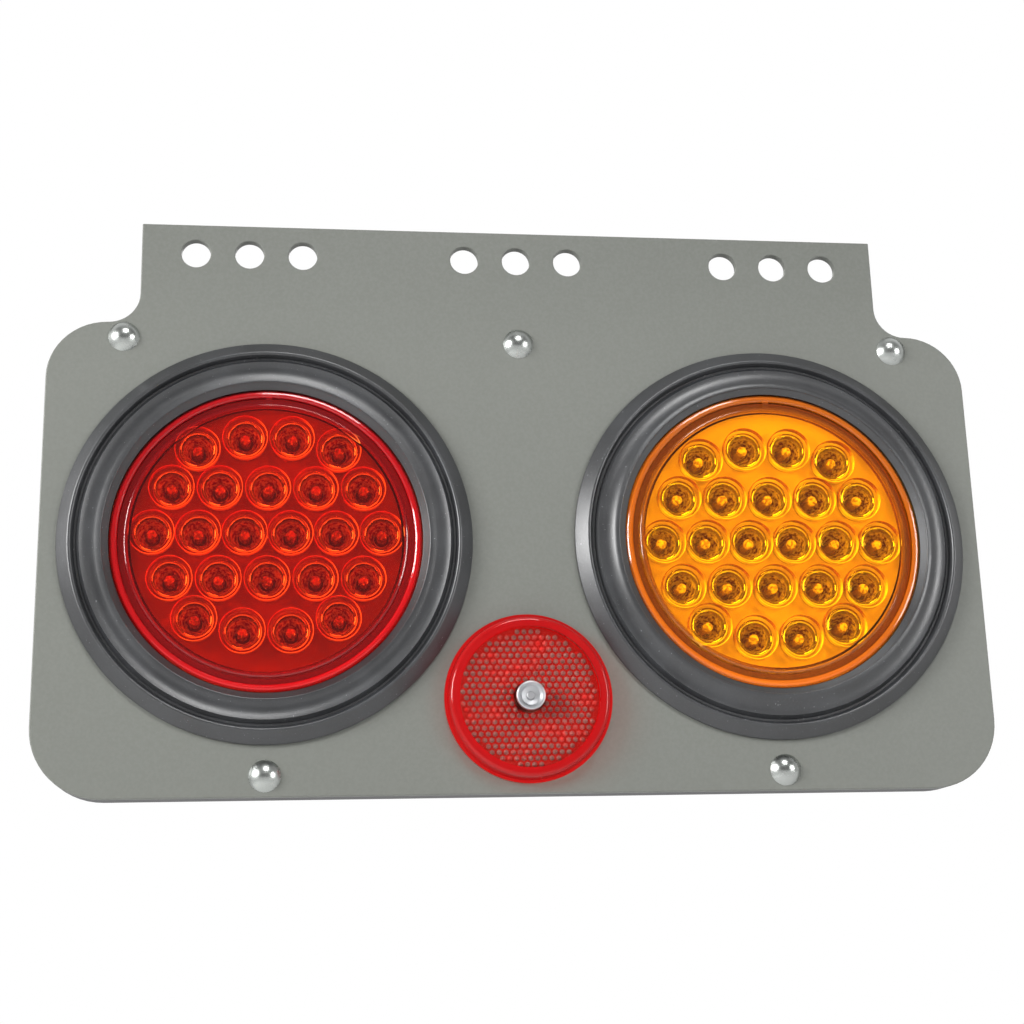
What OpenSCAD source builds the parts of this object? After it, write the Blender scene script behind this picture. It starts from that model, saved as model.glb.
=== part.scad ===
// Trailer light module: two round lamps in rubber grommets and a round reflex
// reflector on one bolt-on plate, with a moulded cover riveted on behind.
//
// The origin is the middle bolt hole of the top row, on the plate's rear face.
// X runs along the bolt row, Z is up, and the lamps face -Y.

/* [Mounting plate] */
// Thickness of the plate
plate_t = 3; // [1.5:0.5:4]
// Distance from the bolt row up to the top edge
tab_rise = 10.2; // [8:0.2:20]
// Width of each shoulder beside the bolting tab
shoulder_w = 29; // [26:0.5:32]
// Plate left between a shoulder and the top of the grommet below it
top_margin = 7.1; // [6.6:0.1:12]
// Plate left between a side edge and the grommet beside it
side_margin = 5.6; // [3:0.2:12]
// Radius of the two bottom corners
corner_r = 22; // [10:1:30]
// Radius of the inside fillet where the tab meets a shoulder
tab_fillet_r = 10; // [4:1:14]

/* [Bolt holes] */
// Diameter of each bolt hole
bolt_hole_d = 9.5; // [6.5:0.1:11]
// Distance between neighbouring holes of a group
bolt_pitch = 17.5; // [14:0.1:22]
// Distance between the middle holes of neighbouring groups
bolt_group_pitch = 88.9; // [80:0.1:92]
// Number of holes in each group
bolts_per_group = 3; // [1:2:3]

/* [Lamps] */
// Distance from the bolt row down to the lamp centres
lamp_drop = 97; // [88:0.5:110]
// How far the red lens rim stands in front of the plate
red_stand = 1.5; // [0:0.5:5]
// How far the amber lens rim stands in front of the plate
amber_stand = 4.5; // [0:0.5:5]
// Diameter of the lamp body behind the flange
lamp_body_d = 100; // [98:0.5:102]
// How far the flange that both lens and housing have reaches past the body
lamp_flange_w = 4.2; // [3.6:0.1:4.8]

/* [Rubber grommets] */
// How far the grommet's front flange reaches past the plate hole
front_flange_w = 8.25; // [7.5:0.05:9.5]
// Wall of the grommet between lamp flange and plate hole
grommet_wall = 2.95; // [2.5:0.05:3.5]
// Height of the outer ridge above the plate
ridge_h = 4.4; // [3:0.2:6]
// Height of the lip's crest when the lamp sits flush
lip_rest_h = 2.7; // [2.5:0.1:4]
// Share of the lamp's stand that the lip's crest follows
lip_follow = 0.75; // [0.3:0.05:0.8]
// How far the rear flange reaches past the plate hole
rear_flange_w = 2.35; // [1.5:0.05:3]
// Thickness of the rubber behind the lamp flange
rear_lip_t = 2.5; // [1.5:0.5:4]

/* [Lenses] */
// How far the round bead that frames the lens stays inside the body's outline
bead_inset = 0.8; // [0.5:0.1:1.5]
// Width of that bead
bead_w = 2.6; // [2:0.2:3.2]
// Height of the bead above the lens flange
bead_h = 2.6; // [2:0.2:3.4]
// Width of the channel between that bead and the raised window inside it
channel_w = 1.8; // [1.2:0.1:2.4]
// Height of the window's edge above the bead
window_h = 0.6; // [0:0.1:1.5]
// Extra height of the window at its centre
window_crown = 1.4; // [0.5:0.1:3]
// Depth of the channel between bead and window
channel_depth = 1.6; // [1:0.2:2]
// Wall thickness of the lens
lens_t = 2.2; // [1.6:0.2:2.6]
// Thickness of the lens flange
lens_flange_t = 2.5; // [2:0.25:3]
// Height of each low bullseye on the back of the window
bullseye_h = 0.5; // [0.3:0.1:0.8]

/* [Optics and circuit] */
// Diameter of each bullseye and of the raised cup behind it
optic_d = 14.4; // [13:0.1:14.4]
// Distance between neighbours in the middle row of six
middle_row_pitch = 14.5; // [14.5:0.1:15]
// Distance between neighbours in the two rows of five
five_row_pitch = 15.2; // [14.6:0.1:15.8]
// Distance between neighbours in the two rows of four
four_row_pitch = 15; // [14.6:0.1:15.6]
// Height of the rows of five above and below the middle row
five_row_rise = 14.8; // [14.4:0.1:15.2]
// Height of the rows of four at their middle
four_row_rise = 32.1; // [31.9:0.1:32.4]
// Radius on which the rows of four are swept
four_row_sweep_r = 57.5; // [56:0.5:60]
// How far the red lamp's optics sit above the lamp's centre
red_optic_rise = 2.2; // [-1:0.2:2.4]
// How far the amber lamp's optics sit above the lamp's centre
amber_optic_rise = -0.8; // [-2:0.2:1]
// Height of each cup's rim above the tray between the cups
cup_rise = 2.4; // [1.6:0.2:4]
// Depth of each reflector cup
cup_depth = 6.6; // [6:0.2:11]
// Thickness of the floor under each cup
cup_floor_t = 1; // [0.8:0.1:1.6]
// Diameter of a light emitting diode's dome
led_d = 3.4; // [3:0.1:5]
// Height of a diode from the board to the top of its dome
led_h = 7; // [5:0.2:8]
// Thickness of the circuit board
board_t = 1.6; // [1:0.2:2.4]
// Number of chip resistors behind each board
resistors = 8; // [4:1:10]

/* [Lamp housings] */
// Thickness of the housing flange behind the lens flange
housing_flange_t = 3.5; // [2.5:0.5:5]
// Wall thickness of the housing
housing_t = 2.2; // [1.8:0.2:2.6]
// Depth of the potting compound behind the board
potting_t = 4.8; // [3:0.2:7]
// Width of the plug socket's opening
socket_w = 24.6; // [22:0.2:28]
// Height of the plug socket's opening
socket_h = 13; // [12:0.2:16]
// Depth of the plug socket
socket_depth = 11; // [9:0.5:12]
// Diameter of each terminal pin
pin_d = 2.3; // [1.6:0.1:3]
// Distance between neighbouring terminal pins
pin_pitch = 7.5; // [6:0.1:8.5]
// Length of each pin inside the socket
pin_reach = 8; // [5:0.5:8.5]

/* [Reflector] */
// Diameter of the reflector
reflector_d = 53.4; // [50:0.2:55]
// Height of the reflector above the plate
reflector_h = 6; // [5:0.2:8]
// Gap between the reflector and each of the two grommets
reflector_gap = 4.731; // [2:0.001:8]
// Plate left between the reflector and the bottom edge
bottom_margin = 3; // [2:0.2:6]
// Diameter of the reflector rivet's head
reflector_head_d = 9.2; // [8:0.2:11]
// Diameter of the reflector rivet's shank
reflector_shank_d = 4.8; // [4:0.2:6]

/* [Cover rivets] */
// Diameter of a rivet's domed head
rivet_head_d = 10; // [8:0.2:10]
// Height of that head
rivet_head_h = 2.6; // [1.5:0.1:4]
// Diameter of a rivet's shank
rivet_shank_d = 4.8; // [4:0.2:5]
// Distance from the plate's side edge in to the rivet beside the tab
shoulder_rivet_inset = 24.2; // [23:0.2:26]
// Distance from the shoulders down to the upper rivets
upper_rivet_inset = 5.1; // [5:0.1:5.5]
// Distance from the bottom edge up to the bottom rivets
bottom_rivet_rise = 6.4; // [6.4:0.1:8]
// Gap between each bottom rivet's head and the grommet above it
bottom_rivet_gap = 4.4; // [2:0.1:8]
// Thickness of the washer under each rivet's tail
washer_t = 1.2; // [0.8:0.1:2]

/* [Rear cover] */
// Wall thickness of the cover
cover_t = 2; // [1.5:0.1:2.1]
// Depth of the cover behind the plate
cover_depth = 58; // [50:1:80]
// Depth of the stiffening lip round the cover's rim
cover_lip = 8; // [6:0.5:14]
// Gap between the cover's wall and the grommets
cover_gap = 0.9; // [0.5:0.1:1]
// How far the walls lean in from the rim to the back
cover_draft = 5; // [2:0.5:8]
// Radius of the cover's four long corners
cover_corner_r = 40; // [25:1:55]
// Radius of the rounding round the back of the cover
cover_edge_r = 8; // [4:1:12]
// Diameter of the two drain holes in the bottom of the cover
drain_d = 6; // [4:0.5:8]
// Distance between the two drain holes
drain_pitch = 120; // [60:5:180]

/* [Cable grommet] */
// Diameter of the cable that the grommet takes
cable_d = 8.2; // [5:0.1:10]
// Wall of rubber between cable and cover
cable_wall = 3.4; // [2:0.1:5]
// Distance from the bolt row down to the cable
cable_drop = 97; // [80:1:110]

/* [Hidden] */
$fn = 96;
// Points along each round stretch of a section
ARC_STEPS = 8;
// Overlap used where one shape cuts or joins another
CUT = 1;
// Slack cut round a piece that is set into another
SLACK = 0.01;

// Layout: the bottom rivets hang below the grommets, the bottom edge below the rivets,
// the reflector above that edge, and the lamps stand apart far enough for it
lamp_flange_r = lamp_body_d / 2 + lamp_flange_w;
panel_hole_r = lamp_flange_r + grommet_wall;
grommet_r = panel_hole_r + front_flange_w;
reflector_r = reflector_d / 2;
rivet_head_r = rivet_head_d / 2;
bottom_rivet_drop = lamp_drop + grommet_r + bottom_rivet_gap + rivet_head_r;
body_drop = bottom_rivet_drop + bottom_rivet_rise;
reflector_drop = body_drop - bottom_margin - reflector_r;
reflector_reach = grommet_r + reflector_gap + reflector_r;
lamp_half_pitch = sqrt(pow(reflector_reach, 2) - pow(reflector_drop - lamp_drop, 2));
shoulder_drop = lamp_drop - grommet_r - top_margin;
upper_rivet_drop = shoulder_drop + upper_rivet_inset;

// Plate
body_half = lamp_half_pitch + grommet_r + side_margin;
tab_half = body_half - shoulder_w;
shoulder_r = shoulder_w - tab_fillet_r;
bolt_groups = 3;

// Grommet, measured from the lamp axis and from the plate's front face
grommet_rear_r = panel_hole_r + rear_flange_w;
grommet_edge_r = 0.7;
bevel_w = 4.2;
ridge_round_r = 0.8;
groove_w = 3.2;
groove_dip = 1.9;
groove_slope_w = 0.6;
face_drop = 0.2;
face_dish = 0.6;
crest_w = 2.3;
crest_round_r = 0.45;
lip_fit = 0.2;
body_fit = 0.3;
rear_flange_t = 2;

// Lens, measured from the lamp axis and from the top of its bead
bead_r = lamp_body_d / 2 - bead_inset;
window_r = bead_r - bead_w - channel_w;
lip_r = bead_r + lip_fit;
lens_back = -bead_h - lens_flange_t;
window_edge_round = 0.8;
window_wall = 1.4;
skirt_r = bead_r + 0.4;
key_w = 2;
key_gap = 0.3;

// Optics
optic_r = optic_d / 2;
OPTIC_ROWS = [
    [4, four_row_pitch, four_row_rise, 1],
    [5, five_row_pitch, five_row_rise, 0],
    [6, middle_row_pitch, 0, 0],
    [5, five_row_pitch, -five_row_rise, 0],
    [4, four_row_pitch, -four_row_rise, -1]
];
function optics(rise) = [
    for (row = OPTIC_ROWS, i = [0 : row[0] - 1])
        let (x = (i - (row[0] - 1) / 2) * row[1])
            [x, row[2] - row[3] * x * x / (2 * four_row_sweep_r) + rise]
];
tray_fit = 0.4;
tray_front = -channel_depth - lens_t - tray_fit;
board_front = tray_front - cup_depth - cup_floor_t;
board_back = board_front - board_t;
cup_rim_r = 0.6;
cup_rim_lip = 0.15;
cup_taper_w = 1.3;
cup_wall_r = optic_r - cup_taper_w;
rim_ring_r = cup_wall_r + cup_rim_lip - cup_rim_r;
cup_r = rim_ring_r - cup_rim_r + cup_rim_lip;
rim_base = tray_front - cup_rim_r;
cup_base_r = led_d / 2 + 0.6;
led_collar_w = 0.3;
led_collar_h = 1;
led_collar_r = led_d / 2 + led_collar_w;
led_fit = 0.15;
led_hole_r = led_collar_r + led_fit;

// Housing
body_r = lamp_body_d / 2;
board_well_r = body_r - housing_t;
board_fit = 0.3;
board_r = board_well_r - board_fit;
tray_r = board_well_r - tray_fit;
potting_r = board_well_r - 2.3;
potting_back = board_back - potting_t;
floor_t = 2.5;
housing_back = potting_back - floor_t;
housing_bevel = 3;
socket_wall = 3;
socket_floor_t = 1.6;
socket_bottom = potting_back - socket_floor_t;
socket_mouth = socket_bottom - socket_depth;
socket_round = 2.5;
pin_count = 3;
pin_tip = 0.5;
chip_l = 6.3;
chip_w = 3.1;
chip_h = 1.1;
chip_ring_r = 30;
chip_edge = 0.3;

// Reflector, measured from its centre and from the plate's front face
reflector_base_t = 1.8;
reflector_step = 0.9;
reflector_taper = 0.6;
reflector_round = 1.2;
reflector_rim_w = 2.6;
backing_t = 2;
prism_gap = 0.8;
boss_r = 5;
reflector_head_r = reflector_head_d / 2;
reflector_head_h = 1.7;
reflector_shank_r = reflector_shank_d / 2;
stem_r = reflector_shank_r * 0.55;
rivet_bulb_r = reflector_shank_r + 1.2;
rivet_bulb_l = 5;

// Cover rivets
rivet_shank_r = rivet_shank_d / 2;
rivet_tail_r = rivet_shank_r + 1.3;
rivet_tail_h = 1.8;
washer_r = rivet_shank_r + 1.8;
rivet_grip = plate_t + cover_t + washer_t;
shoulder_rivet_x = body_half - shoulder_rivet_inset;
RIVETS = [
    [-shoulder_rivet_x, -upper_rivet_drop],
    [0, -upper_rivet_drop],
    [shoulder_rivet_x, -upper_rivet_drop],
    [-lamp_half_pitch, -bottom_rivet_drop],
    [lamp_half_pitch, -bottom_rivet_drop]
];

// Cover
pan_half_w = lamp_half_pitch + grommet_rear_r + cover_gap + cover_t;
pan_half_h = grommet_rear_r + cover_gap + cover_t;
cable_r = cable_d / 2;
cable_hole_r = cable_r + cable_wall;
cable_flange_r = cable_hole_r + 3;
cable_flange_t = 2.2;
cable_nose_l = 6;

// Colours
steel_grey = [0.58, 0.58, 0.56];
zinc = [0.78, 0.79, 0.8];
rubber_black = [0.12, 0.13, 0.14];
plastic_black = [0.07, 0.07, 0.08];
lens_red = [0.8, 0.05, 0.06, 0.75];
lens_amber = [0.98, 0.52, 0.06, 0.75];
bright_metal = [0.85, 0.85, 0.86];
clear_resin = [0.93, 0.93, 0.9];
board_green = [0.08, 0.36, 0.18];
potting_grey = [0.25, 0.26, 0.28];
chip_black = [0.1, 0.1, 0.11];
pin_brass = [0.8, 0.66, 0.32];

// Points of an arc round a centre, from one angle to another
function arc(x, y, r, from, to) = [
    for (i = [0 : ARC_STEPS])
        let (a = from + (to - from) * i / ARC_STEPS)
            [x + r * cos(a), y + r * sin(a)]
];

// Radius of the ball whose cap has this height and edge radius
function cap_ball_r(edge_r, height) = (edge_r * edge_r + height * height) / (2 * height);

// Height of the window's front face at a distance from the lamp axis
function window_front(r) = window_h + window_crown * (1 - pow(r / window_r, 2));

// Puts a drawing of the XZ plane between two depths
module slab(y_front, y_back) {
    translate([0, y_back, 0])
        rotate([90, 0, 0])
            linear_extrude(y_back - y_front)
                children();
}

// Turns local +Z towards the front, from a spot on the plate's front face
module on_front(x, z, stand = 0) {
    translate([x, -plate_t - stand, z])
        rotate([90, 0, 0])
            children();
}

module at_lamp(side, stand = 0) {
    on_front(side * lamp_half_pitch, -lamp_drop, stand)
        children();
}

module at_rivets() {
    for (spot = RIVETS)
        on_front(spot[0], spot[1])
            children();
}

// Rectangle with its own radius at the top and at the bottom corners
module rounded_rect(half_w, top, bottom, top_r, bottom_r) {
    for (side = [-1, 1]) {
        translate([side * (half_w - top_r), top - top_r])
            circle(top_r);
        translate([side * (half_w - bottom_r), bottom + bottom_r])
            circle(bottom_r);
    }
    polygon([
        [-half_w + top_r, top], [half_w - top_r, top],
        [half_w, top - top_r], [half_w, bottom + bottom_r],
        [half_w - bottom_r, bottom], [-half_w + bottom_r, bottom],
        [-half_w, bottom + bottom_r], [-half_w, top - top_r]
    ]);
}

// Outline of the plate below the tab, drawn in by an inset
module body_outline(inset = 0) {
    rounded_rect(body_half - inset, -shoulder_drop - inset, -body_drop + inset,
        shoulder_r - inset, corner_r - inset);
}

// Tab with its two fillets, down to a strip that overlaps the body
module tab_outline() {
    root_half = tab_half + tab_fillet_r;
    overlap = tab_fillet_r;
    difference() {
        translate([-root_half, -shoulder_drop - overlap])
            square([2 * root_half, shoulder_drop + tab_rise + overlap]);
        for (side = [-1, 1]) {
            translate([side * root_half, -shoulder_drop + tab_fillet_r])
                circle(tab_fillet_r);
            translate([side > 0 ? tab_half : -root_half - CUT, -shoulder_drop + tab_fillet_r])
                square([tab_fillet_r + CUT, shoulder_drop + tab_rise]);
        }
    }
}

module bolt_row() {
    for (group = [0 : bolt_groups - 1], i = [0 : bolts_per_group - 1])
        translate([
            (group - (bolt_groups - 1) / 2) * bolt_group_pitch
                + (i - (bolts_per_group - 1) / 2) * bolt_pitch, 0])
            circle(d = bolt_hole_d);
}

module rivet_holes() {
    for (spot = RIVETS)
        translate(spot)
            circle(rivet_shank_r);
}

module plate_holes() {
    bolt_row();
    rivet_holes();
    for (side = [-1, 1])
        translate([side * lamp_half_pitch, -lamp_drop])
            circle(panel_hole_r);
    translate([0, -reflector_drop])
        circle(reflector_shank_r);
}

module mounting_plate() {
    color(steel_grey)
        difference() {
            union() {
                slab(-plate_t, 0)
                    body_outline();
                slab(-plate_t, 0)
                    tab_outline();
            }
            slab(-plate_t - CUT, CUT)
                plate_holes();
        }
}

// One side of the pan's section: straight to the rim, drafted, then rounded at the back
function pan_side(half, wall, rim_y) =
    let (lean = atan(cover_draft / (cover_depth - cover_edge_r)))
    concat(
        [[half - wall, rim_y], [half - wall, 0]],
        arc(half - cover_draft - cover_edge_r, cover_depth - cover_edge_r,
            cover_edge_r - wall, lean, 90)
    );

// Prism of the pan's section across the whole width or height
module pan_prism(half, wall, rim_y, length) {
    side = pan_side(half, wall, rim_y);
    translate([0, 0, -length / 2])
        linear_extrude(length)
            polygon(concat(
                side,
                [
                    for (i = [len(side) - 1 : -1 : 0])
                        [-side[i][0], side[i][1]]
                ]));
}

module pan_corner(wall, rim_y) {
    side = pan_side(cover_corner_r, wall, rim_y);
    rotate([-90, 0, 0])
        rotate_extrude()
            polygon(concat([[0, rim_y]], side, [[0, side[len(side) - 1][1]]]));
}

// The cover's pan, drawn in by a wall: two crossed prisms and four round corners
module pan_form(wall, rim_y) {
    flat_w = 2 * (pan_half_w - cover_corner_r);
    flat_h = 2 * (pan_half_h - cover_corner_r);
    translate([0, 0, -lamp_drop]) {
        pan_prism(pan_half_w, wall, rim_y, flat_h);
        rotate([0, 90, 0])
            pan_prism(pan_half_h, wall, rim_y, flat_w);
        for (x = [-1, 1], z = [-1, 1])
            translate([x * flat_w / 2, 0, z * flat_h / 2])
                pan_corner(wall, rim_y);
    }
}

module drain_holes() {
    middle = cover_depth / 2;
    for (side = [-1, 1])
        translate([side * drain_pitch / 2, middle, -lamp_drop - pan_half_h - CUT])
            cylinder(h = cover_draft + cover_t + 2 * CUT, d = drain_d);
}

// Rim lip down the sides and along the bottom, open along the top
module cover_lip_outline() {
    difference() {
        body_outline();
        body_outline(cover_t);
        translate([-body_half, -shoulder_drop - shoulder_r])
            square([2 * body_half, shoulder_r + CUT]);
    }
}

module rear_cover() {
    color(plastic_black)
        difference() {
            union() {
                slab(0, cover_t)
                    body_outline();
                slab(cover_t - CUT, cover_lip)
                    cover_lip_outline();
                pan_form(0, 0);
            }
            pan_form(cover_t, -CUT);
            drain_holes();
            slab(-CUT, cover_t + CUT)
                rivet_holes();
            translate([0, cover_depth + CUT, -cable_drop])
                rotate([90, 0, 0])
                    cylinder(h = cover_t + 2 * CUT, r = cable_hole_r);
        }
}

// Shallow dome that stands on the plane at height 0
module dome(edge_r, height) {
    ball_r = cap_ball_r(edge_r, height);
    intersection() {
        translate([0, 0, height - ball_r])
            sphere(ball_r);
        cylinder(h = height + CUT, r = edge_r + CUT);
    }
}

module cover_rivets() {
    color(zinc)
        at_rivets() {
            dome(rivet_head_r, rivet_head_h);
            rotate_extrude()
                polygon([
                    [0, -rivet_grip - rivet_tail_h],
                    [rivet_tail_r * 0.7, -rivet_grip - rivet_tail_h],
                    [rivet_tail_r, -rivet_grip - rivet_tail_h / 2],
                    [rivet_tail_r, -rivet_grip],
                    [rivet_shank_r, -rivet_grip],
                    [rivet_shank_r, rivet_head_h / 3],
                    [0, rivet_head_h / 3]
                ]);
        }
}

module rivet_washers() {
    color(zinc)
        for (spot = RIVETS)
            slab(cover_t, cover_t + washer_t)
                translate(spot)
                    difference() {
                        circle(washer_r);
                        circle(rivet_shank_r);
                    }
}

// Rubber bush in the back of the cover, with a tapered nose towards the cable
module cable_grommet() {
    wall_front = cover_depth - cover_t;
    color(rubber_black)
        translate([0, 0, -cable_drop])
            rotate([-90, 0, 0])
                rotate_extrude()
                    polygon([
                        [cable_r, wall_front - cable_flange_t],
                        [cable_flange_r - 1, wall_front - cable_flange_t],
                        [cable_flange_r, wall_front - cable_flange_t + 1],
                        [cable_flange_r, wall_front],
                        [cable_hole_r, wall_front],
                        [cable_hole_r, cover_depth],
                        [cable_flange_r, cover_depth],
                        [cable_flange_r, cover_depth + cable_flange_t - 1],
                        [cable_flange_r - 1, cover_depth + cable_flange_t],
                        [cable_hole_r - 0.5, cover_depth + cable_flange_t],
                        [cable_r + 1.4, cover_depth + cable_nose_l],
                        [cable_r, cover_depth + cable_nose_l]
                    ]);
}

// Front of the grommet, from the outer edge over the ridge to the lip's crest
function grommet_front(crest_h) =
    let (
        ridge_r = grommet_r - bevel_w,
        groove_r = ridge_r - ridge_round_r - groove_slope_w,
        groove_h = ridge_h - groove_dip,
        face_r = ridge_r - groove_w,
        face_h = ridge_h - face_drop,
        crest_r = lip_r + crest_w,
        crest_base = crest_h - crest_round_r
    )
    concat(
        arc(grommet_r - grommet_edge_r, grommet_edge_r, grommet_edge_r, -90, 40),
        arc(ridge_r, ridge_h - ridge_round_r, ridge_round_r, 50, 165),
        [[groove_r, groove_h], [face_r + 2 * groove_slope_w, groove_h]],
        [
            for (i = [0 : ARC_STEPS])
                let (t = i / ARC_STEPS, dip = 4 * t * (1 - t))
                    [
                        face_r + (crest_r + 2 * crest_round_r - face_r) * t,
                        face_h + (crest_h - 0.1 - face_h) * t - face_dish * dip
                    ]
        ],
        arc(crest_r, crest_base, crest_round_r, 70, 170)
    );

module grommet(stand) {
    seat_front = stand - bead_h;
    seat_back = stand + lens_back - housing_flange_t;
    color(rubber_black)
        rotate_extrude()
            polygon(concat(
                [[panel_hole_r, 0]],
                grommet_front(lip_rest_h + lip_follow * stand),
                [
                    [lip_r, stand],
                    [lip_r, seat_front],
                    [lamp_flange_r, seat_front],
                    [lamp_flange_r, seat_back],
                    [body_r + body_fit, seat_back],
                    [body_r + body_fit, seat_back - rear_lip_t],
                    [panel_hole_r - 1, seat_back - rear_lip_t],
                    [grommet_rear_r, -plate_t - rear_flange_t / 2],
                    [grommet_rear_r, -plate_t],
                    [panel_hole_r, -plate_t]
                ]));
}

// Shell of the lens: flange, bead, channel and crowned window
module lens_shell() {
    window_points = [
        for (i = [0 : ARC_STEPS])
            let (r = (window_r - window_edge_round) * i / ARC_STEPS)
                [r, window_front(r)]
    ];
    inside_r = window_r - window_wall;
    inside_points = [
        for (i = [ARC_STEPS : -1 : 0])
            let (r = (inside_r - window_edge_round) * i / ARC_STEPS)
                [r, window_front(r) - lens_t]
    ];
    bead_round = bead_w / 2;
    bead_inner_r = bead_r - bead_w;
    rotate_extrude()
        polygon(concat(
            window_points,
            arc(window_r - window_edge_round, window_h - window_edge_round,
                window_edge_round, 80, 0),
            [[window_r + 0.1, -channel_depth], [bead_inner_r, -channel_depth]],
            arc(bead_r - bead_round, -bead_round, bead_round, 180, 0),
            [
                [bead_r, -bead_h],
                [lamp_flange_r, -bead_h],
                [lamp_flange_r, lens_back],
                [skirt_r, lens_back],
                [bead_r - 1, -channel_depth - lens_t],
                [inside_r, -channel_depth - lens_t],
                [inside_r, window_h - lens_t - window_edge_round]
            ],
            inside_points
        ));
}

// Low bullseye on the back of the window, in front of one diode
module bullseye(spot) {
    sink = lens_t / 4;
    ball_r = cap_ball_r(optic_r, bullseye_h);
    translate([spot[0], spot[1], window_front(norm(spot)) - lens_t])
        intersection() {
            translate([0, 0, ball_r - bullseye_h])
                sphere(ball_r);
            translate([0, 0, -bullseye_h - CUT])
                cylinder(h = bullseye_h + sink + CUT, r = optic_r);
        }
}

// Small bar across the channel that marks the top of the lens
module key_mark() {
    inner_r = window_r - lens_t / 2;
    outer_r = bead_r - bead_w / 2;
    translate([-key_w / 2, inner_r, -channel_depth - CUT / 2])
        cube([key_w, outer_r - inner_r, channel_depth - key_gap + CUT / 2]);
}

module lens(tint, rise) {
    color(tint)
        union() {
            lens_shell();
            for (spot = optics(rise))
                bullseye(spot);
            key_mark();
        }
}

// One cup of the tray, as the space to be cut away
module cup_space() {
    bottom = board_front + cup_floor_t;
    depth = rim_base - bottom;
    steepness = (cup_r * cup_r - cup_base_r * cup_base_r) / depth;
    rotate_extrude()
        polygon(concat(
            [[0, tray_front + CUT], [cup_r, tray_front + CUT], [cup_r, rim_base]],
            [
                for (i = [ARC_STEPS - 1 : -1 : 0])
                    let (h = depth * i / ARC_STEPS)
                        [sqrt(cup_base_r * cup_base_r + steepness * h), bottom + h]
            ],
            [[0, bottom]]
        ));
}

// Metallised tray of raised cups with rolled rims, which turn each diode's light forwards
module cup_tray(rise) {
    floor_h = tray_front - cup_rise - board_front;
    color(bright_metal)
        union() {
            difference() {
                union() {
                    translate([0, 0, board_front])
                        cylinder(h = floor_h, r = tray_r);
                    for (spot = optics(rise))
                        translate([spot[0], spot[1], board_front + floor_h - CUT])
                            cylinder(h = cup_rise - cup_rim_r + CUT, r1 = optic_r, r2 = cup_wall_r);
                }
                for (spot = optics(rise))
                    translate(spot) {
                        cup_space();
                        translate([0, 0, board_front - CUT])
                            cylinder(h = cup_floor_t + 2 * CUT, r = led_hole_r);
                    }
            }
            for (spot = optics(rise))
                translate([spot[0], spot[1], rim_base])
                    rotate_extrude()
                        translate([rim_ring_r, 0])
                            circle(cup_rim_r);
        }
}

module leds(rise) {
    dome_r = led_d / 2;
    color(clear_resin)
        for (spot = optics(rise))
            translate([spot[0], spot[1], board_front])
                rotate_extrude()
                    polygon(concat(
                        [
                            [0, 0], [led_collar_r, 0],
                            [led_collar_r, led_collar_h], [dome_r, led_collar_h]
                        ],
                        arc(0, led_h - dome_r, dome_r, 0, 90)
                    ));
}

module circuit_board() {
    color(board_green)
        translate([0, 0, board_back])
            cylinder(h = board_t, r = board_r);
}

// One chip resistor's body, standing on the back of the board
module chip(grow = 0) {
    size = [chip_l + grow, chip_w + grow, chip_h + grow];
    translate([-size[0] / 2, -size[1] / 2, board_back - size[2]])
        difference() {
            cube(size);
            if (grow == 0)
                for (end = [0, 1])
                    translate([end * (size[0] - chip_edge), -CUT, -CUT])
                        cube([chip_edge, size[1] + 2 * CUT, CUT + chip_edge]);
        }
}

module at_chips() {
    for (i = [0 : resistors - 1])
        rotate([0, 0, (i + 0.5) * 360 / resistors])
            translate([chip_ring_r, 0, 0])
                rotate([0, 0, 90])
                    children();
}

module chip_resistors() {
    color(chip_black)
        at_chips()
            chip();
}

module at_pins() {
    for (i = [0 : pin_count - 1])
        translate([(i - (pin_count - 1) / 2) * pin_pitch, 0, 0])
            children();
}

// Compound that seals the board into the housing, round chips and pins
module potting() {
    color(potting_grey)
        difference() {
            translate([0, 0, potting_back])
                cylinder(h = potting_t, r = potting_r);
            at_chips()
                chip(SLACK);
            at_pins()
                translate([0, 0, potting_back - CUT])
                    cylinder(h = potting_t + 2 * CUT, d = pin_d);
        }
}

module socket_outline(grow = 0) {
    half_h = socket_h / 2 + grow;
    rounded_rect(socket_w / 2 + grow, half_h, -half_h, socket_round + grow, socket_round + grow);
}

module housing() {
    flange_back = lens_back - housing_flange_t;
    color(plastic_black)
        difference() {
            union() {
                rotate_extrude()
                    polygon([
                        [0, lens_back],
                        [lamp_flange_r, lens_back],
                        [lamp_flange_r, flange_back],
                        [body_r, flange_back],
                        [body_r, housing_back + housing_bevel],
                        [body_r - housing_bevel, housing_back],
                        [0, housing_back]
                    ]);
                translate([0, 0, socket_mouth])
                    linear_extrude(housing_back - socket_mouth + CUT)
                        socket_outline(socket_wall);
            }
            translate([0, 0, board_back])
                cylinder(h = lens_back - board_back + CUT, r = board_well_r);
            translate([0, 0, potting_back])
                cylinder(h = potting_t + CUT, r = potting_r);
            translate([0, 0, socket_mouth - CUT])
                linear_extrude(socket_depth + CUT)
                    socket_outline();
            at_pins()
                translate([0, 0, socket_bottom - CUT])
                    cylinder(h = socket_floor_t + 2 * CUT, d = pin_d);
        }
}

module terminals() {
    tip = socket_bottom - pin_reach;
    color(pin_brass)
        at_pins()
            rotate_extrude()
                polygon([
                    [0, board_back],
                    [pin_d / 2, board_back],
                    [pin_d / 2, tip + pin_tip],
                    [pin_d / 2 - pin_tip, tip],
                    [0, tip]
                ]);
}

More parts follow.
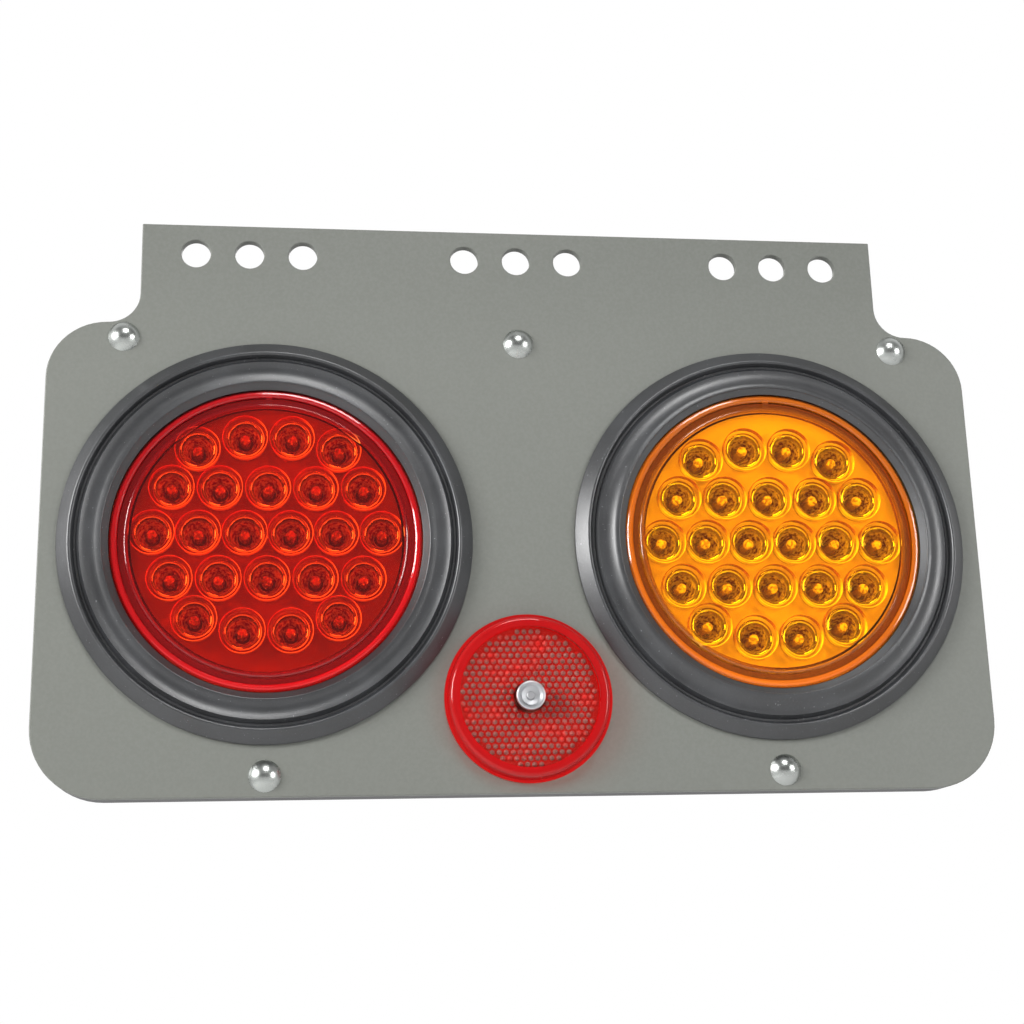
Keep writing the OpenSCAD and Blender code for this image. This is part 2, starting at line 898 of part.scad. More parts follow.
// Stepped lens with a hollow back for the prisms and a boss round the rivet
module reflector_lens() {
    body_edge_r = reflector_r - reflector_step;
    top_r = body_edge_r - reflector_taper;
    hollow_r = top_r - reflector_rim_w;
    hollow_top = backing_t + prism_gap;
    color(lens_red)
        on_front(0, -reflector_drop)
            rotate_extrude()
                polygon(concat(
                    [
                        [reflector_shank_r, 0],
                        [boss_r, 0],
                        [boss_r, hollow_top],
                        [hollow_r, hollow_top],
                        [hollow_r, 0],
                        [reflector_r, 0],
                        [reflector_r, reflector_base_t],
                        [body_edge_r, reflector_base_t]
                    ],
                    arc(top_r - reflector_round, reflector_h - reflector_round,
                        reflector_round, 5, 90),
                    [[reflector_shank_r, reflector_h]]
                ));
}

module reflector_backing() {
    hollow_r = reflector_r - reflector_step - reflector_taper - reflector_rim_w;
    color(bright_metal)
        on_front(0, -reflector_drop)
            difference() {
                cylinder(h = backing_t, r = hollow_r);
                translate([0, 0, -CUT])
                    cylinder(h = backing_t + 2 * CUT, r = boss_r);
            }
}

// Blind rivet: dished head in front, bulb pulled up behind the plate
module reflector_rivet() {
    bulb_end = -plate_t - rivet_bulb_l;
    rim_r = reflector_head_r - 0.9;
    color(bright_metal)
        on_front(0, -reflector_drop)
            rotate_extrude()
                polygon(concat(
                    [
                        [stem_r, reflector_h + 0.5],
                        [rim_r - 0.8, reflector_h + 0.8],
                        [rim_r, reflector_h + reflector_head_h]
                    ],
                    arc(reflector_head_r - 0.5, reflector_h + reflector_head_h - 0.5, 0.5, 90, 0),
                    [
                        [reflector_head_r, reflector_h],
                        [reflector_shank_r, reflector_h],
                        [reflector_shank_r, -plate_t],
                        [rivet_bulb_r, -plate_t],
                        [rivet_bulb_r, bulb_end + 2],
                        [rivet_bulb_r - 1, bulb_end],
                        [stem_r, bulb_end]
                    ]));
}

// Stem left in the blind rivet, with its broken end proud of the dish
module reflector_rivet_stem() {
    ball_l = 2;
    bulb_end = -plate_t - rivet_bulb_l;
    color(zinc)
        on_front(0, -reflector_drop)
            rotate_extrude()
                polygon([
                    [0, reflector_h + 1.3],
                    [stem_r - 0.3, reflector_h + 1.3],
                    [stem_r, reflector_h + 1],
                    [stem_r, bulb_end],
                    [rivet_bulb_r - 1, bulb_end],
                    [rivet_bulb_r - 1.3, bulb_end - ball_l],
                    [0, bulb_end - ball_l]
                ]);
}

mounting_plate();
rear_cover();
cover_rivets();
rivet_washers();
cable_grommet();
at_lamp(-1) grommet(red_stand);  // red_grommet
at_lamp(-1, red_stand) lens(lens_red, red_optic_rise);  // red_lens
at_lamp(-1, red_stand) cup_tray(red_optic_rise);  // red_cup_tray
at_lamp(-1, red_stand) leds(red_optic_rise);  // red_leds
at_lamp(-1, red_stand) circuit_board();  // red_circuit_board
at_lamp(-1, red_stand) chip_resistors();  // red_resistors
at_lamp(-1, red_stand) potting();  // red_potting
at_lamp(-1, red_stand) housing();  // red_housing
at_lamp(-1, red_stand) terminals();  // red_terminals
at_lamp(1) grommet(amber_stand);  // amber_grommet
at_lamp(1, amber_stand) lens(lens_amber, amber_optic_rise);  // amber_lens
at_lamp(1, amber_stand) cup_tray(amber_optic_rise);  // amber_cup_tray
at_lamp(1, amber_stand) leds(amber_optic_rise);  // amber_leds
at_lamp(1, amber_stand) circuit_board();  // amber_circuit_board
at_lamp(1, amber_stand) chip_resistors();  // amber_resistors
at_lamp(1, amber_stand) potting();  // amber_potting
at_lamp(1, amber_stand) housing();  // amber_housing
at_lamp(1, amber_stand) terminals();  // amber_terminals
reflector_lens();
reflector_backing();
reflector_rivet();
reflector_rivet_stem();
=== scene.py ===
"""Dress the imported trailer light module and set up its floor, lights and camera."""

from __future__ import annotations

import logging
import math
from collections.abc import Iterator
from dataclasses import dataclass, field
from enum import Enum
from typing import Any

import bmesh
import bpy
from mathutils import Matrix, Vector

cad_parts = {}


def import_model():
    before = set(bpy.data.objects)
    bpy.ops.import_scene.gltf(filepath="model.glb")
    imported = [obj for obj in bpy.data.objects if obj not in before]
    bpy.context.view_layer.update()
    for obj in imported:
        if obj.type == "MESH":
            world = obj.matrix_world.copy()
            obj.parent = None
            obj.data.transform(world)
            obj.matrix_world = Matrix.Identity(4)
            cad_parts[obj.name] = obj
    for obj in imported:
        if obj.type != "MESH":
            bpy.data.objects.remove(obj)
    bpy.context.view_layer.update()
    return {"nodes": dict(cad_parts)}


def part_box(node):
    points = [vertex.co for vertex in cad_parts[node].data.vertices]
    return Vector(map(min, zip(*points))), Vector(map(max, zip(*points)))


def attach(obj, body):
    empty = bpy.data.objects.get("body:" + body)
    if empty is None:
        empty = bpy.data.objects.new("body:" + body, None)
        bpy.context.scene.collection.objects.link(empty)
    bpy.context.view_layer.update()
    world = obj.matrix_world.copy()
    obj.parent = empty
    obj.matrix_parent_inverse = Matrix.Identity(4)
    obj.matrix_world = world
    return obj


log = logging.getLogger("light_module")

MM = 0.001
Colour = tuple[float, float, float]


class Lamp(Enum):
    """The two lamps, by the first word of their nodes' names."""

    RED = "red"
    AMBER = "amber"


class Socket:
    """One output of a node, so that shader maths reads as arithmetic."""

    def __init__(self, graph: Graph, output: bpy.types.NodeSocket) -> None:
        """Keep the output and the graph that it belongs to."""
        self.graph = graph
        self.output = output

    def __add__(self, other: Value) -> Socket:
        """Return self + other."""
        return self.graph.maths("ADD", self, other)

    __radd__ = __add__

    def __sub__(self, other: Value) -> Socket:
        """Return self - other."""
        return self.graph.maths("SUBTRACT", self, other)

    def __rsub__(self, other: Value) -> Socket:
        """Return other - self."""
        return self.graph.maths("SUBTRACT", other, self)

    def __mul__(self, other: Value) -> Socket:
        """Return self * other."""
        return self.graph.maths("MULTIPLY", self, other)

    __rmul__ = __mul__

    def __truediv__(self, other: Value) -> Socket:
        """Return self / other."""
        return self.graph.maths("DIVIDE", self, other)

    def __rtruediv__(self, other: Value) -> Socket:
        """Return other / self."""
        return self.graph.maths("DIVIDE", other, self)

    def __pow__(self, other: Value) -> Socket:
        """Return self to the power of other."""
        return self.graph.maths("POWER", self, other)

    def __gt__(self, other: Value) -> Socket:
        """Return 1 where self is above other, and 0 elsewhere."""
        return self.graph.maths("GREATER_THAN", self, other)

    def __lt__(self, other: Value) -> Socket:
        """Return 1 where self is below other, and 0 elsewhere."""
        return self.graph.maths("LESS_THAN", self, other)


Value = Socket | float


class Graph:
    """The node tree of one material or world."""

    def __init__(self, tree: bpy.types.NodeTree) -> None:
        """Empty the tree, so that every node in it is made here."""
        self.tree = tree
        tree.nodes.clear()

    def add(self, kind: str, settings: dict[str, Any] | None = None,
            values: dict[str | int, Any] | None = None, output: str | int = 0) -> Socket:
        """Add one node.

        Args:
            kind: The node's type.
            settings: Properties set first, with "stops" for the stops of a ramp.
            values: Numbers, colours or sockets, by the name or place of each input.
            output: Name or place of the output that is wanted.

        Returns:
            The output, ready for arithmetic.
        """
        made = self.tree.nodes.new(kind)
        for name, value in (settings or {}).items():
            if name == "stops":
                self._set_stops(made.color_ramp, value)
            else:
                setattr(made, name, value)
        for key, value in (values or {}).items():
            if isinstance(value, Socket):
                self.tree.links.new(value.output, made.inputs[key])
            else:
                made.inputs[key].default_value = value
        outputs = made.outputs
        return Socket(self, outputs[output]) if len(outputs) else Socket(self, None)

    @staticmethod
    def _set_stops(ramp: bpy.types.ColorRamp, stops: list[tuple[float, Colour]]) -> None:
        """Give a ramp its stops, as pairs of place and colour."""
        while len(ramp.elements) < len(stops):
            ramp.elements.new(1.0)
        for element, (place, colour) in zip(ramp.elements, stops):
            element.position = place
            element.color = (*colour, 1.0)

    def maths(self, operation: str, first: Value, second: Value = 0.0) -> Socket:
        """Add a Math node for two values."""
        return self.add("ShaderNodeMath", {"operation": operation}, {0: first, 1: second})

    def clamped(self, value: Socket, low: float, high: float) -> Socket:
        """Return how far a value lies from low to high, held between 0 and 1."""
        return self.add("ShaderNodeMapRange", {"interpolation_type": "SMOOTHSTEP"},
                        {"Value": value, "From Min": low, "From Max": high})

    def blend(self, factor: Value, first: Any, second: Any) -> Socket:
        """Mix two colours, the second one by the factor."""
        return self.add("ShaderNodeMix", {"data_type": "RGBA"},
                        {"Factor": factor, 6: first, 7: second}, 2)

    def place(self) -> Socket:
        """Return the object coordinates."""
        return self.add("ShaderNodeTexCoord", output="Object")

    def part(self, vector: Socket, axis: str) -> Socket:
        """Return one coordinate of a vector."""
        return self.add("ShaderNodeSeparateXYZ", values={0: vector}, output=axis)

    def noise(self, scale: float, detail: float = 3.0, roughness: float = 0.5,
              stretch: tuple[float, float, float] = (1.0, 1.0, 1.0)) -> Socket:
        """Return a noise on the object, with its scale in cells per metre."""
        spot = self.add("ShaderNodeMapping", values={"Vector": self.place(), "Scale": stretch})
        return self.add("ShaderNodeTexNoise", None,
                        {"Vector": spot, "Scale": scale, "Detail": detail,
                         "Roughness": roughness})

    def radius(self, centre: tuple[float, float]) -> Socket:
        """Return the distance in X and Z from a centre, in metres."""
        place = self.place()
        x = self.part(place, "X") - centre[0]
        z = self.part(place, "Z") - centre[1]
        return (x * x + z * z) ** 0.5

    def bump(self, height: Socket, depth: float, strength: float = 1.0) -> Socket:
        """Return the normal that a height gives, with its depth in metres."""
        return self.add("ShaderNodeBump", None,
                        {"Strength": strength, "Distance": depth, "Height": height})

    def surface(self, shader: Socket) -> None:
        """Send a shader to the material's output."""
        self.add("ShaderNodeOutputMaterial", None, {"Surface": shader})


def grey(level: float) -> tuple[float, float, float, float]:
    """Return a grey colour with full alpha."""
    return (level, level, level, 1.0)


def full(colour: Colour) -> tuple[float, float, float, float]:
    """Return a colour with full alpha."""
    return (*colour, 1.0)


@dataclass(frozen=True)
class Finish:
    """A surface finish that can build its material."""

    name: str

    def material(self) -> bpy.types.Material:
        """Make the material.

        Returns:
            A new material with the finish's nodes.
        """
        made = bpy.data.materials.new(self.name)
        made.use_nodes = True
        self.shade(Graph(made.node_tree))
        return made

    def shade(self, graph: Graph) -> None:
        """Fill the material's node tree."""
        raise NotImplementedError


@dataclass(frozen=True)
class SatinPaint(Finish):
    """Grey satin paint with faint clouds, fine orange peel, and painted shade that darkens it towards
    the top.
    """

    colour: Colour = (0.128, 0.134, 0.119)
    cloud_and_painted_shade: Colour = (0.084, 0.089, 0.078)
    roughness: float = 0.44

    def shade(self, graph: Graph) -> None:
        """Fill the material's node tree."""
        clouds = graph.noise(14.0, 4.0, 0.55)
        grain = graph.noise(900.0, 2.0, 0.6)
        peel = graph.noise(420.0, 2.0, 0.5)
        height = graph.part(graph.place(), "Z")
        # painted shade: the paint darkens towards the top, mixed with its random clouds
        shade = graph.clamped(height, -0.045, 0.014) * 0.42 + clouds * 0.22
        colour = graph.blend(shade, full(self.colour), full(self.cloud_and_painted_shade))
        speck = graph.clamped(grain, 0.3, 0.72)
        colour = graph.blend(speck * 0.12, colour, grey(0.2))
        shader = graph.add("ShaderNodeBsdfPrincipled", None, {
            "Base Color": colour,
            "Roughness": clouds * 0.12 + self.roughness,
            "Normal": graph.bump(peel, 0.00006, 0.35),
            "Specular IOR Level": 0.4,
        })
        graph.surface(shader)


@dataclass(frozen=True)
class MouldedRubber(Finish):
    """Dark grey rubber with a soft sheen and a dusty grain."""

    colour: Colour = (0.012, 0.0125, 0.014)
    pale: Colour = (0.032, 0.034, 0.038)
    speck: Colour = (0.3, 0.31, 0.32)
    roughness: float = 0.3

    def shade(self, graph: Graph) -> None:
        """Fill the material's node tree."""
        dust = graph.noise(55.0, 5.0, 0.6)
        grain = graph.noise(1400.0, 2.0, 0.6)
        colour = graph.blend(graph.clamped(dust, 0.35, 0.75) * 0.5, full(self.colour),
                             full(self.pale))
        colour = graph.blend(graph.clamped(grain, 0.45, 0.75) * 0.35, colour, full(self.pale))
        specks = graph.clamped(graph.noise(1900.0, 1.0, 0.5), 0.74, 0.8)
        colour = graph.blend(specks * 0.7, colour, full(self.speck))
        shader = graph.add("ShaderNodeBsdfPrincipled", None, {
            "Base Color": colour,
            "Roughness": dust * 0.16 + self.roughness,
            "Normal": graph.bump(grain, 0.00005, 0.4),
            "Specular IOR Level": 0.8,
        })
        graph.surface(shader)


@dataclass(frozen=True)
class TintedLens(Finish):
    """Clear coloured plastic, milkier in the thick bead than in the window, deep in its channel, with
    painted shadow of the grommet on the bead's outer edge.
    """

    tint: Colour = (1.0, 0.02, 0.02)
    body: Colour = (0.5, 0.01, 0.012)
    deep_and_shadow: Colour = (0.12, 0.004, 0.006)
    centre: tuple[float, float] = (0.0, 0.0)
    window_r: float = 44.4 * MM
    window_fade: float = 1.3 * MM
    bead_r: float = 46.8 * MM
    grommet_shadow_r: float = 48.1 * MM
    grommet_shadow_fade: float = 0.9 * MM
    window_body: float = 0.03
    channel_body: float = 0.75
    bead_body: float = 0.6
    ior: float = 1.49

    def shade(self, graph: Graph) -> None:
        """Fill the material's node tree."""
        glass = graph.add("ShaderNodeBsdfPrincipled", None, {
            "Base Color": full(self.tint),
            "Roughness": 0.015,
            "IOR": self.ior,
            "Transmission Weight": 1.0,
        })
        radius = graph.radius(self.centre)
        outside = graph.clamped(radius, self.window_r - self.window_fade, self.window_r)
        channel = outside * (radius < self.bead_r)
        # painted shadow: beyond this radius the bead's outer edge takes the deep colour as the
        # grommet's shadow; the channel takes it too
        edge = graph.clamped(radius, self.grommet_shadow_r, self.grommet_shadow_r + self.grommet_shadow_fade)
        body = graph.add("ShaderNodeBsdfPrincipled", None, {
            "Base Color": graph.blend(graph.clamped(channel + edge, 0.0, 1.0),
                                      full(self.body), full(self.deep_and_shadow)),
            "Roughness": 0.12,
            "IOR": self.ior,
        })
        share = (outside * (self.channel_body - self.window_body)
                 + (radius > self.bead_r) * (self.bead_body - self.channel_body)
                 + self.window_body)
        solid = graph.add("ShaderNodeMixShader", None, {0: share, 1: glass, 2: body})
        pass_tint = tuple(part ** 0.5 for part in self.tint)
        clear = graph.add("ShaderNodeBsdfTransparent", None, {"Color": full(pass_tint)})
        shadow = graph.add("ShaderNodeLightPath", output="Is Shadow Ray")
        graph.surface(graph.add("ShaderNodeMixShader", None, {0: shadow, 1: solid, 2: clear}))


@dataclass(frozen=True)
class MirrorCoat(Finish):
    """Vacuum metal on the cup tray: bright rims, a plainer land between the cups, and painted shade
    deep in the cups streaked with painted glints.
    """

    land: Colour = (0.5, 0.5, 0.5)
    shaded_well: Colour = (0.2, 0.19, 0.18)
    painted_glint: Colour = (0.8, 0.7, 0.6)
    coat: Colour = (0.9, 0.9, 0.9)
    front_y: float = 0.0
    cup_rise: float = 2.4 * MM
    shine: float = 0.35
    roughness: float = 0.07

    def shade(self, graph: Graph) -> None:
        """Fill the material's node tree."""
        depth = graph.part(graph.place(), "Y") - self.front_y
        is_land = (depth > self.cup_rise - 0.05 * MM) * (depth < self.cup_rise + 0.05 * MM)
        ripple = graph.noise(700.0, 2.0, 0.5)
        cloud = graph.noise(420.0, 3.0, 0.6)
        # painted shade: the cups darken with depth, and noise streaks of painted glint stand in for
        # reflections
        sunk = graph.clamped(depth + cloud * 1.2 * MM, 1.5 * MM, 4.0 * MM)
        painted_glint_streaks = graph.clamped(graph.noise(850.0, 5.0, 0.7), 0.43, 0.57)
        painted_shade_and_glint = graph.blend(painted_glint_streaks, full(self.shaded_well), full(self.painted_glint))
        metal = graph.blend(sunk, full(self.coat), painted_shade_and_glint)
        shader = graph.add("ShaderNodeBsdfPrincipled", None, {
            "Base Color": graph.blend(is_land, metal, full(self.land)),
            "Metallic": is_land * -0.6 - sunk * (1.0 - self.shine) + 1.0,
            "Roughness": is_land * 0.35 + sunk * 0.1 + self.roughness,
            "Normal": graph.bump(ripple, 0.0001, 0.25),
        })
        graph.surface(shader)


@dataclass(frozen=True)
class CollarPlastic(Finish):
    """Clear plastic of the collars, with painted light and shade: darker on one side of each ring and
    paler on the other.
    """

    shaded: Colour = (0.34, 0.09, 0.06)
    lit: Colour = (0.9, 0.7, 0.3)
    side_name: str = "side"

    def shade(self, graph: Graph) -> None:
        """Fill the material's node tree."""
        side = graph.add("ShaderNodeAttribute", {"attribute_name": self.side_name}, output="Fac")
        grain = graph.noise(1100.0, 2.0, 0.6)
        # painted light and shade, by each point's side of the ring
        painted_light = graph.clamped(side + (grain - 0.5) * 0.5, -0.35, 0.55)
        shader = graph.add("ShaderNodeBsdfPrincipled", None, {
            "Base Color": graph.blend(painted_light, full(self.shaded), full(self.lit)),
            "Roughness": grain * 0.1 + 0.1,
        })
        graph.surface(shader)


@dataclass(frozen=True)
class DiodeResin(Finish):
    """Glossy cast resin of the light emitting diodes, with a painted highlight that makes the dome's
    top paler than its sides.
    """

    top: Colour = (0.9, 0.8, 0.6)
    side: Colour = (0.35, 0.3, 0.24)
    top_y: float = 0.0
    dome_h: float = 2.2 * MM

    def shade(self, graph: Graph) -> None:
        """Fill the material's node tree."""
        depth = graph.part(graph.place(), "Y")
        # painted highlight: paler at the dome's top, darker down its sides
        highlight_falloff = graph.clamped(depth, self.top_y, self.top_y + self.dome_h)
        cloud = graph.noise(900.0, 2.0, 0.5)
        veil = graph.clamped(cloud, 0.4, 0.62)
        shader = graph.add("ShaderNodeBsdfPrincipled", None, {
            "Base Color": graph.blend(graph.clamped(highlight_falloff + veil * 0.8, 0.0, 1.0),
                                      full(self.top), full(self.side)),
            "Roughness": cloud * 0.1 + 0.04,
            "IOR": 1.5,
            "Coat Weight": 1.0,
            "Coat Roughness": 0.02,
        })
        graph.surface(shader)


@dataclass(frozen=True)
class BareMetal(Finish):
    """Bare or plated metal with fine handling marks."""

    colour: Colour = (0.72, 0.73, 0.74)
    roughness: float = 0.2
    mark_scale: float = 500.0
    mark_depth: float = 0.00006

    def shade(self, graph: Graph) -> None:
        """Fill the material's node tree."""
        marks = graph.noise(self.mark_scale, 4.0, 0.6)
        smudge = graph.noise(160.0, 3.0, 0.6)
        shader = graph.add("ShaderNodeBsdfPrincipled", None, {
            "Base Color": graph.blend(smudge * 0.4, full(self.colour), grey(0.5)),
            "Metallic": 1.0,
            "Roughness": smudge * 0.15 + self.roughness,
            "Normal": graph.bump(marks, self.mark_depth, 0.4),
        })
        graph.surface(shader)


@dataclass(frozen=True)
class MouldedPlastic(Finish):
    """Plain moulded plastic or resin with a fine spark-eroded grain."""

    colour: Colour = (0.012, 0.012, 0.014)
    roughness: float = 0.42
    grain_scale: float = 1100.0
    grain_depth: float = 0.00005

    def shade(self, graph: Graph) -> None:
        """Fill the material's node tree."""
        grain = graph.noise(self.grain_scale, 2.0, 0.6)
        haze = graph.noise(22.0, 4.0, 0.6)
        pale = tuple(min(1.0, part * 1.7 + 0.006) for part in self.colour)
        shader = graph.add("ShaderNodeBsdfPrincipled", None, {
            "Base Color": graph.blend(haze * 0.5, full(self.colour), full(pale)),
            "Roughness": haze * 0.14 + self.roughness,
            "Normal": graph.bump(grain, self.grain_depth, 0.5),
        })
        graph.surface(shader)


@dataclass(frozen=True)
class ReflectorPlastic(Finish):
    """Red plastic of the reflector: deep at its solid rim, lighter over its prisms."""

    rim: Colour = (0.34, 0.004, 0.005)
    window: Colour = (0.96, 0.62, 0.56)
    centre: tuple[float, float] = (0.0, -0.1485)
    window_r: float = 0.0222
    window_body: float = 0.06
    rim_body: float = 0.92

    def shade(self, graph: Graph) -> None:
        """Fill the material's node tree."""
        is_rim = graph.radius(self.centre) > self.window_r
        glass = graph.add("ShaderNodeBsdfPrincipled", None, {
            "Base Color": full(self.window),
            "Roughness": 0.05,
            "IOR": 1.12,
            "Transmission Weight": 1.0,
        })
        body = graph.add("ShaderNodeBsdfPrincipled", None, {
            "Base Color": full(self.rim),
            "Roughness": 0.12,
            "IOR": 1.36,
        })
        share = is_rim * (self.rim_body - self.window_body) + self.window_body
        solid = graph.add("ShaderNodeMixShader", None, {0: share, 1: glass, 2: body})
        clear = graph.add("ShaderNodeBsdfTransparent", None, {"Color": full(self.window)})
        shadow = graph.add("ShaderNodeLightPath", output="Is Shadow Ray")
        graph.surface(graph.add("ShaderNodeMixShader", None, {0: shadow, 1: solid, 2: clear}))


@dataclass(frozen=True)
class PrismPlastic(Finish):
    """Back of the reflector's lens, from grey to red over its prisms; the grey patches are painted
    reflection.
    """

    painted_reflection_grey: Colour = (0.12, 0.18, 0.19)
    red: Colour = (0.36, 0.03, 0.03)
    share: float = 0.6

    def shade(self, graph: Graph) -> None:
        """Fill the material's node tree."""
        patch = graph.noise(120.0, 3.0, 0.6)
        # painted reflection: noise patches of grey over the red
        reflection_mix = graph.clamped(patch, self.share - 0.12, self.share + 0.12)
        shader = graph.add("ShaderNodeBsdfPrincipled", None, {
            "Base Color": graph.blend(reflection_mix, full(self.painted_reflection_grey), full(self.red)),
            "Roughness": patch * 0.2 + 0.25,
        })
        graph.surface(shader)


def smooth_cad(node: bpy.types.Object, angle: float = 30.0, bevel: float = 0.0) -> None:
    """Join a CAD node's loose triangles by modifiers and smooth its round faces.

    Args:
        node: The CAD node's object.
        angle: Angle in degrees above which an edge stays sharp.
        bevel: Width of a small edge break in metres, or 0 for none.
    """
    weld = node.modifiers.new("joined", "WELD")
    weld.merge_threshold = 1e-6
    if bevel > 0.0:
        edge = node.modifiers.new("edge_break", "BEVEL")
        edge.width = bevel
        edge.segments = 2
        edge.limit_method = "ANGLE"
        edge.angle_limit = math.radians(40.0)
        edge.use_clamp_overlap = False
        edge.loop_slide = False
    split = node.modifiers.new("sharp_edges", "EDGE_SPLIT")
    split.split_angle = math.radians(angle)
    weighted = node.modifiers.new("flat_normals", "WEIGHTED_NORMAL")
    weighted.keep_sharp = True


def new_piece(name: str, mesh: bmesh.types.BMesh, finish: bpy.types.Material) -> bpy.types.Object:
    """Turn a bmesh into a piece that rides with the part.

    Args:
        name: Name of the piece.
        mesh: Its shape, in place in the frame. It is freed here.
        finish: Its material.

    Returns:
        The linked object.
    """
    data = bpy.data.meshes.new(name)
    mesh.to_mesh(data)
    mesh.free()
    made = bpy.data.objects.new(name, data)
    bpy.context.scene.collection.objects.link(made)
    data.materials.append(finish)
    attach(made, "root")
    log.info("made %s with %d faces", name, len(data.polygons))
    return made


def dress(node: bpy.types.Object, finish: bpy.types.Material) -> None:
    """Give a CAD node its material."""
    node.data.materials.clear()
    node.data.materials.append(finish)


@dataclass
class PlateAndCover:
    """The painted plate, the moulded cover behind it and what holds them together."""

    nodes: dict[str, bpy.types.Object]
    edge_break: float = 0.35 * MM

    def build(self) -> None:
        """Dress the plate, the cover, the rivets and the washers."""
        smooth_cad(self.nodes["mounting_plate"], 30.0, self.edge_break)
        dress(self.nodes["mounting_plate"], SatinPaint("plate_paint").material())
        cover = MouldedPlastic("cover_plastic").material()
        smooth_cad(self.nodes["rear_cover"], 32.0)
        dress(self.nodes["rear_cover"], cover)
        smooth_cad(self.nodes["cover_rivets"], 35.0)
        dress(self.nodes["cover_rivets"],
              BareMetal("rivet_metal", (0.36, 0.38, 0.36), 0.2).material())
        smooth_cad(self.nodes["rivet_washers"], 30.0)
        dress(self.nodes["rivet_washers"], BareMetal("washer_metal").material())
        smooth_cad(self.nodes["cable_grommet"], 30.0)
        dress(self.nodes["cable_grommet"], MouldedRubber("bush_rubber").material())
        log.info("dressed the plate and the cover")


@dataclass
class LampUnit:
    """One lamp in its rubber grommet."""

    lamp: Lamp
    nodes: dict[str, bpy.types.Object]
    rubber: bpy.types.Material
    plastics: dict[Lamp, tuple[Colour, Colour, Colour]] = field(default_factory=lambda: {
        Lamp.RED: ((1.0, 0.23, 0.07), (0.5, 0.005, 0.009), (0.14, 0.003, 0.005)),
        Lamp.AMBER: ((1.0, 0.66, 0.03), (0.62, 0.14, 0.008), (0.15, 0.03, 0.004)),
    })
    # tray colours: land, painted shade deep in the cups, painted glint
    trays: dict[Lamp, tuple[Colour, Colour, Colour]] = field(default_factory=lambda: {
        Lamp.RED: ((0.17, 0.01, 0.014), (0.36, 0.03, 0.04), (1.0, 0.6, 0.3)),
        Lamp.AMBER: ((0.7, 0.5, 0.46), (0.2, 0.07, 0.035), (1.0, 0.85, 0.45)),
    })
    collars: dict[Lamp, tuple[Colour, Colour]] = field(default_factory=lambda: {
        Lamp.RED: ((0.5, 0.06, 0.07), (1.0, 0.85, 0.45)),
        Lamp.AMBER: ((0.3, 0.07, 0.05), (1.0, 0.95, 0.4)),
    })
    lit_sides: dict[Lamp, tuple[float, float]] = field(default_factory=lambda: {
        Lamp.RED: (0.8, -0.6),
        Lamp.AMBER: (0.3, -0.95),
    })
    diodes: dict[Lamp, tuple[Colour, Colour]] = field(default_factory=lambda: {
        Lamp.RED: ((0.3, 0.05, 0.06), (0.1, 0.02, 0.02)),
        Lamp.AMBER: ((0.95, 0.75, 0.25), (0.3, 0.16, 0.05)),
    })

    collar_r: float = 7.24 * MM
    collar_t: float = 0.26 * MM
    collar_front: float = 1.9 * MM
    collar_back: float = 0.5 * MM

    def node(self, part: str) -> bpy.types.Object:
        """Return one of the lamp's own nodes."""
        return self.nodes[f"{self.lamp.value}_{part}"]

    def build(self) -> None:
        """Dress every piece of the lamp."""
        name = self.lamp.value
        tint, body, deep_and_shadow = self.plastics[self.lamp]
        low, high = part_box(f"{name}_lens")
        centre = ((low.x + high.x) / 2, (low.z + high.z) / 2)
        smooth_cad(self.node("grommet"), 30.0)
        dress(self.node("grommet"), self.rubber)
        smooth_cad(self.node("lens"), 20.0)
        dress(self.node("lens"),
              TintedLens(f"{name}_lens", tint, body, deep_and_shadow, centre).material())
        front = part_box(f"{name}_cup_tray")[0].y
        smooth_cad(self.node("cup_tray"), 30.0)
        land, shaded_well, painted_glint = self.trays[self.lamp]
        dress(self.node("cup_tray"),
              MirrorCoat(f"{name}_cup_metal", land, shaded_well, painted_glint, front_y=front).material())
        smooth_cad(self.node("leds"), 30.0)
        top, side = self.diodes[self.lamp]
        top_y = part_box(f"{name}_leds")[0].y
        dress(self.node("leds"), DiodeResin(f"{name}_resin", top, side, top_y).material())
        self.add_collars(name, front)
        self.dress_inner(name)
        log.info("dressed the %s lamp", name)

    def diode_spots(self) -> list[tuple[float, float]]:
        """Return where each diode stands, as x and z, from the diodes' own solids."""
        mesh = bmesh.new()
        mesh.from_mesh(self.node("leds").data)
        bmesh.ops.remove_doubles(mesh, verts=mesh.verts, dist=0.001 * MM)
        left = set(mesh.verts)
        spots = []
        while left:
            found = [left.pop()]
            for vert in found:
                near = {edge.other_vert(vert) for edge in vert.link_edges} & left
                left -= near
                found.extend(near)
            spots.append(tuple((min(vert.co[axis] for vert in found)
                                + max(vert.co[axis] for vert in found)) / 2 for axis in (0, 2)))
        mesh.free()
        return sorted(spots)

    def add_collars(self, name: str, front: float) -> None:
        """Add the thin collar that frames each cup behind its bullseye.

        Args:
            name: First word of the lamp's nodes.
            front: Where the cups' rims stand, as y.
        """
        mesh = bmesh.new()
        side = mesh.verts.layers.float.new("side")
        lit_x, lit_z = self.lit_sides[self.lamp]
        for x, z in self.diode_spots():
            known = len(mesh.verts)
            corners = [mesh.verts.new((x + r, y, z)) for r, y in (
                (self.collar_r - self.collar_t, front - self.collar_front),
                (self.collar_r, front - self.collar_front),
                (self.collar_r, front + self.collar_back),
                (self.collar_r - self.collar_t, front + self.collar_back))]
            edges = [mesh.edges.new((corners[i], corners[(i + 1) % 4])) for i in range(4)]
            bmesh.ops.spin(mesh, geom=corners + edges, cent=(x, 0.0, z), axis=(0.0, 1.0, 0.0),
                           angle=math.tau, steps=48, use_merge=True, use_duplicate=False)
            mesh.verts.ensure_lookup_table()
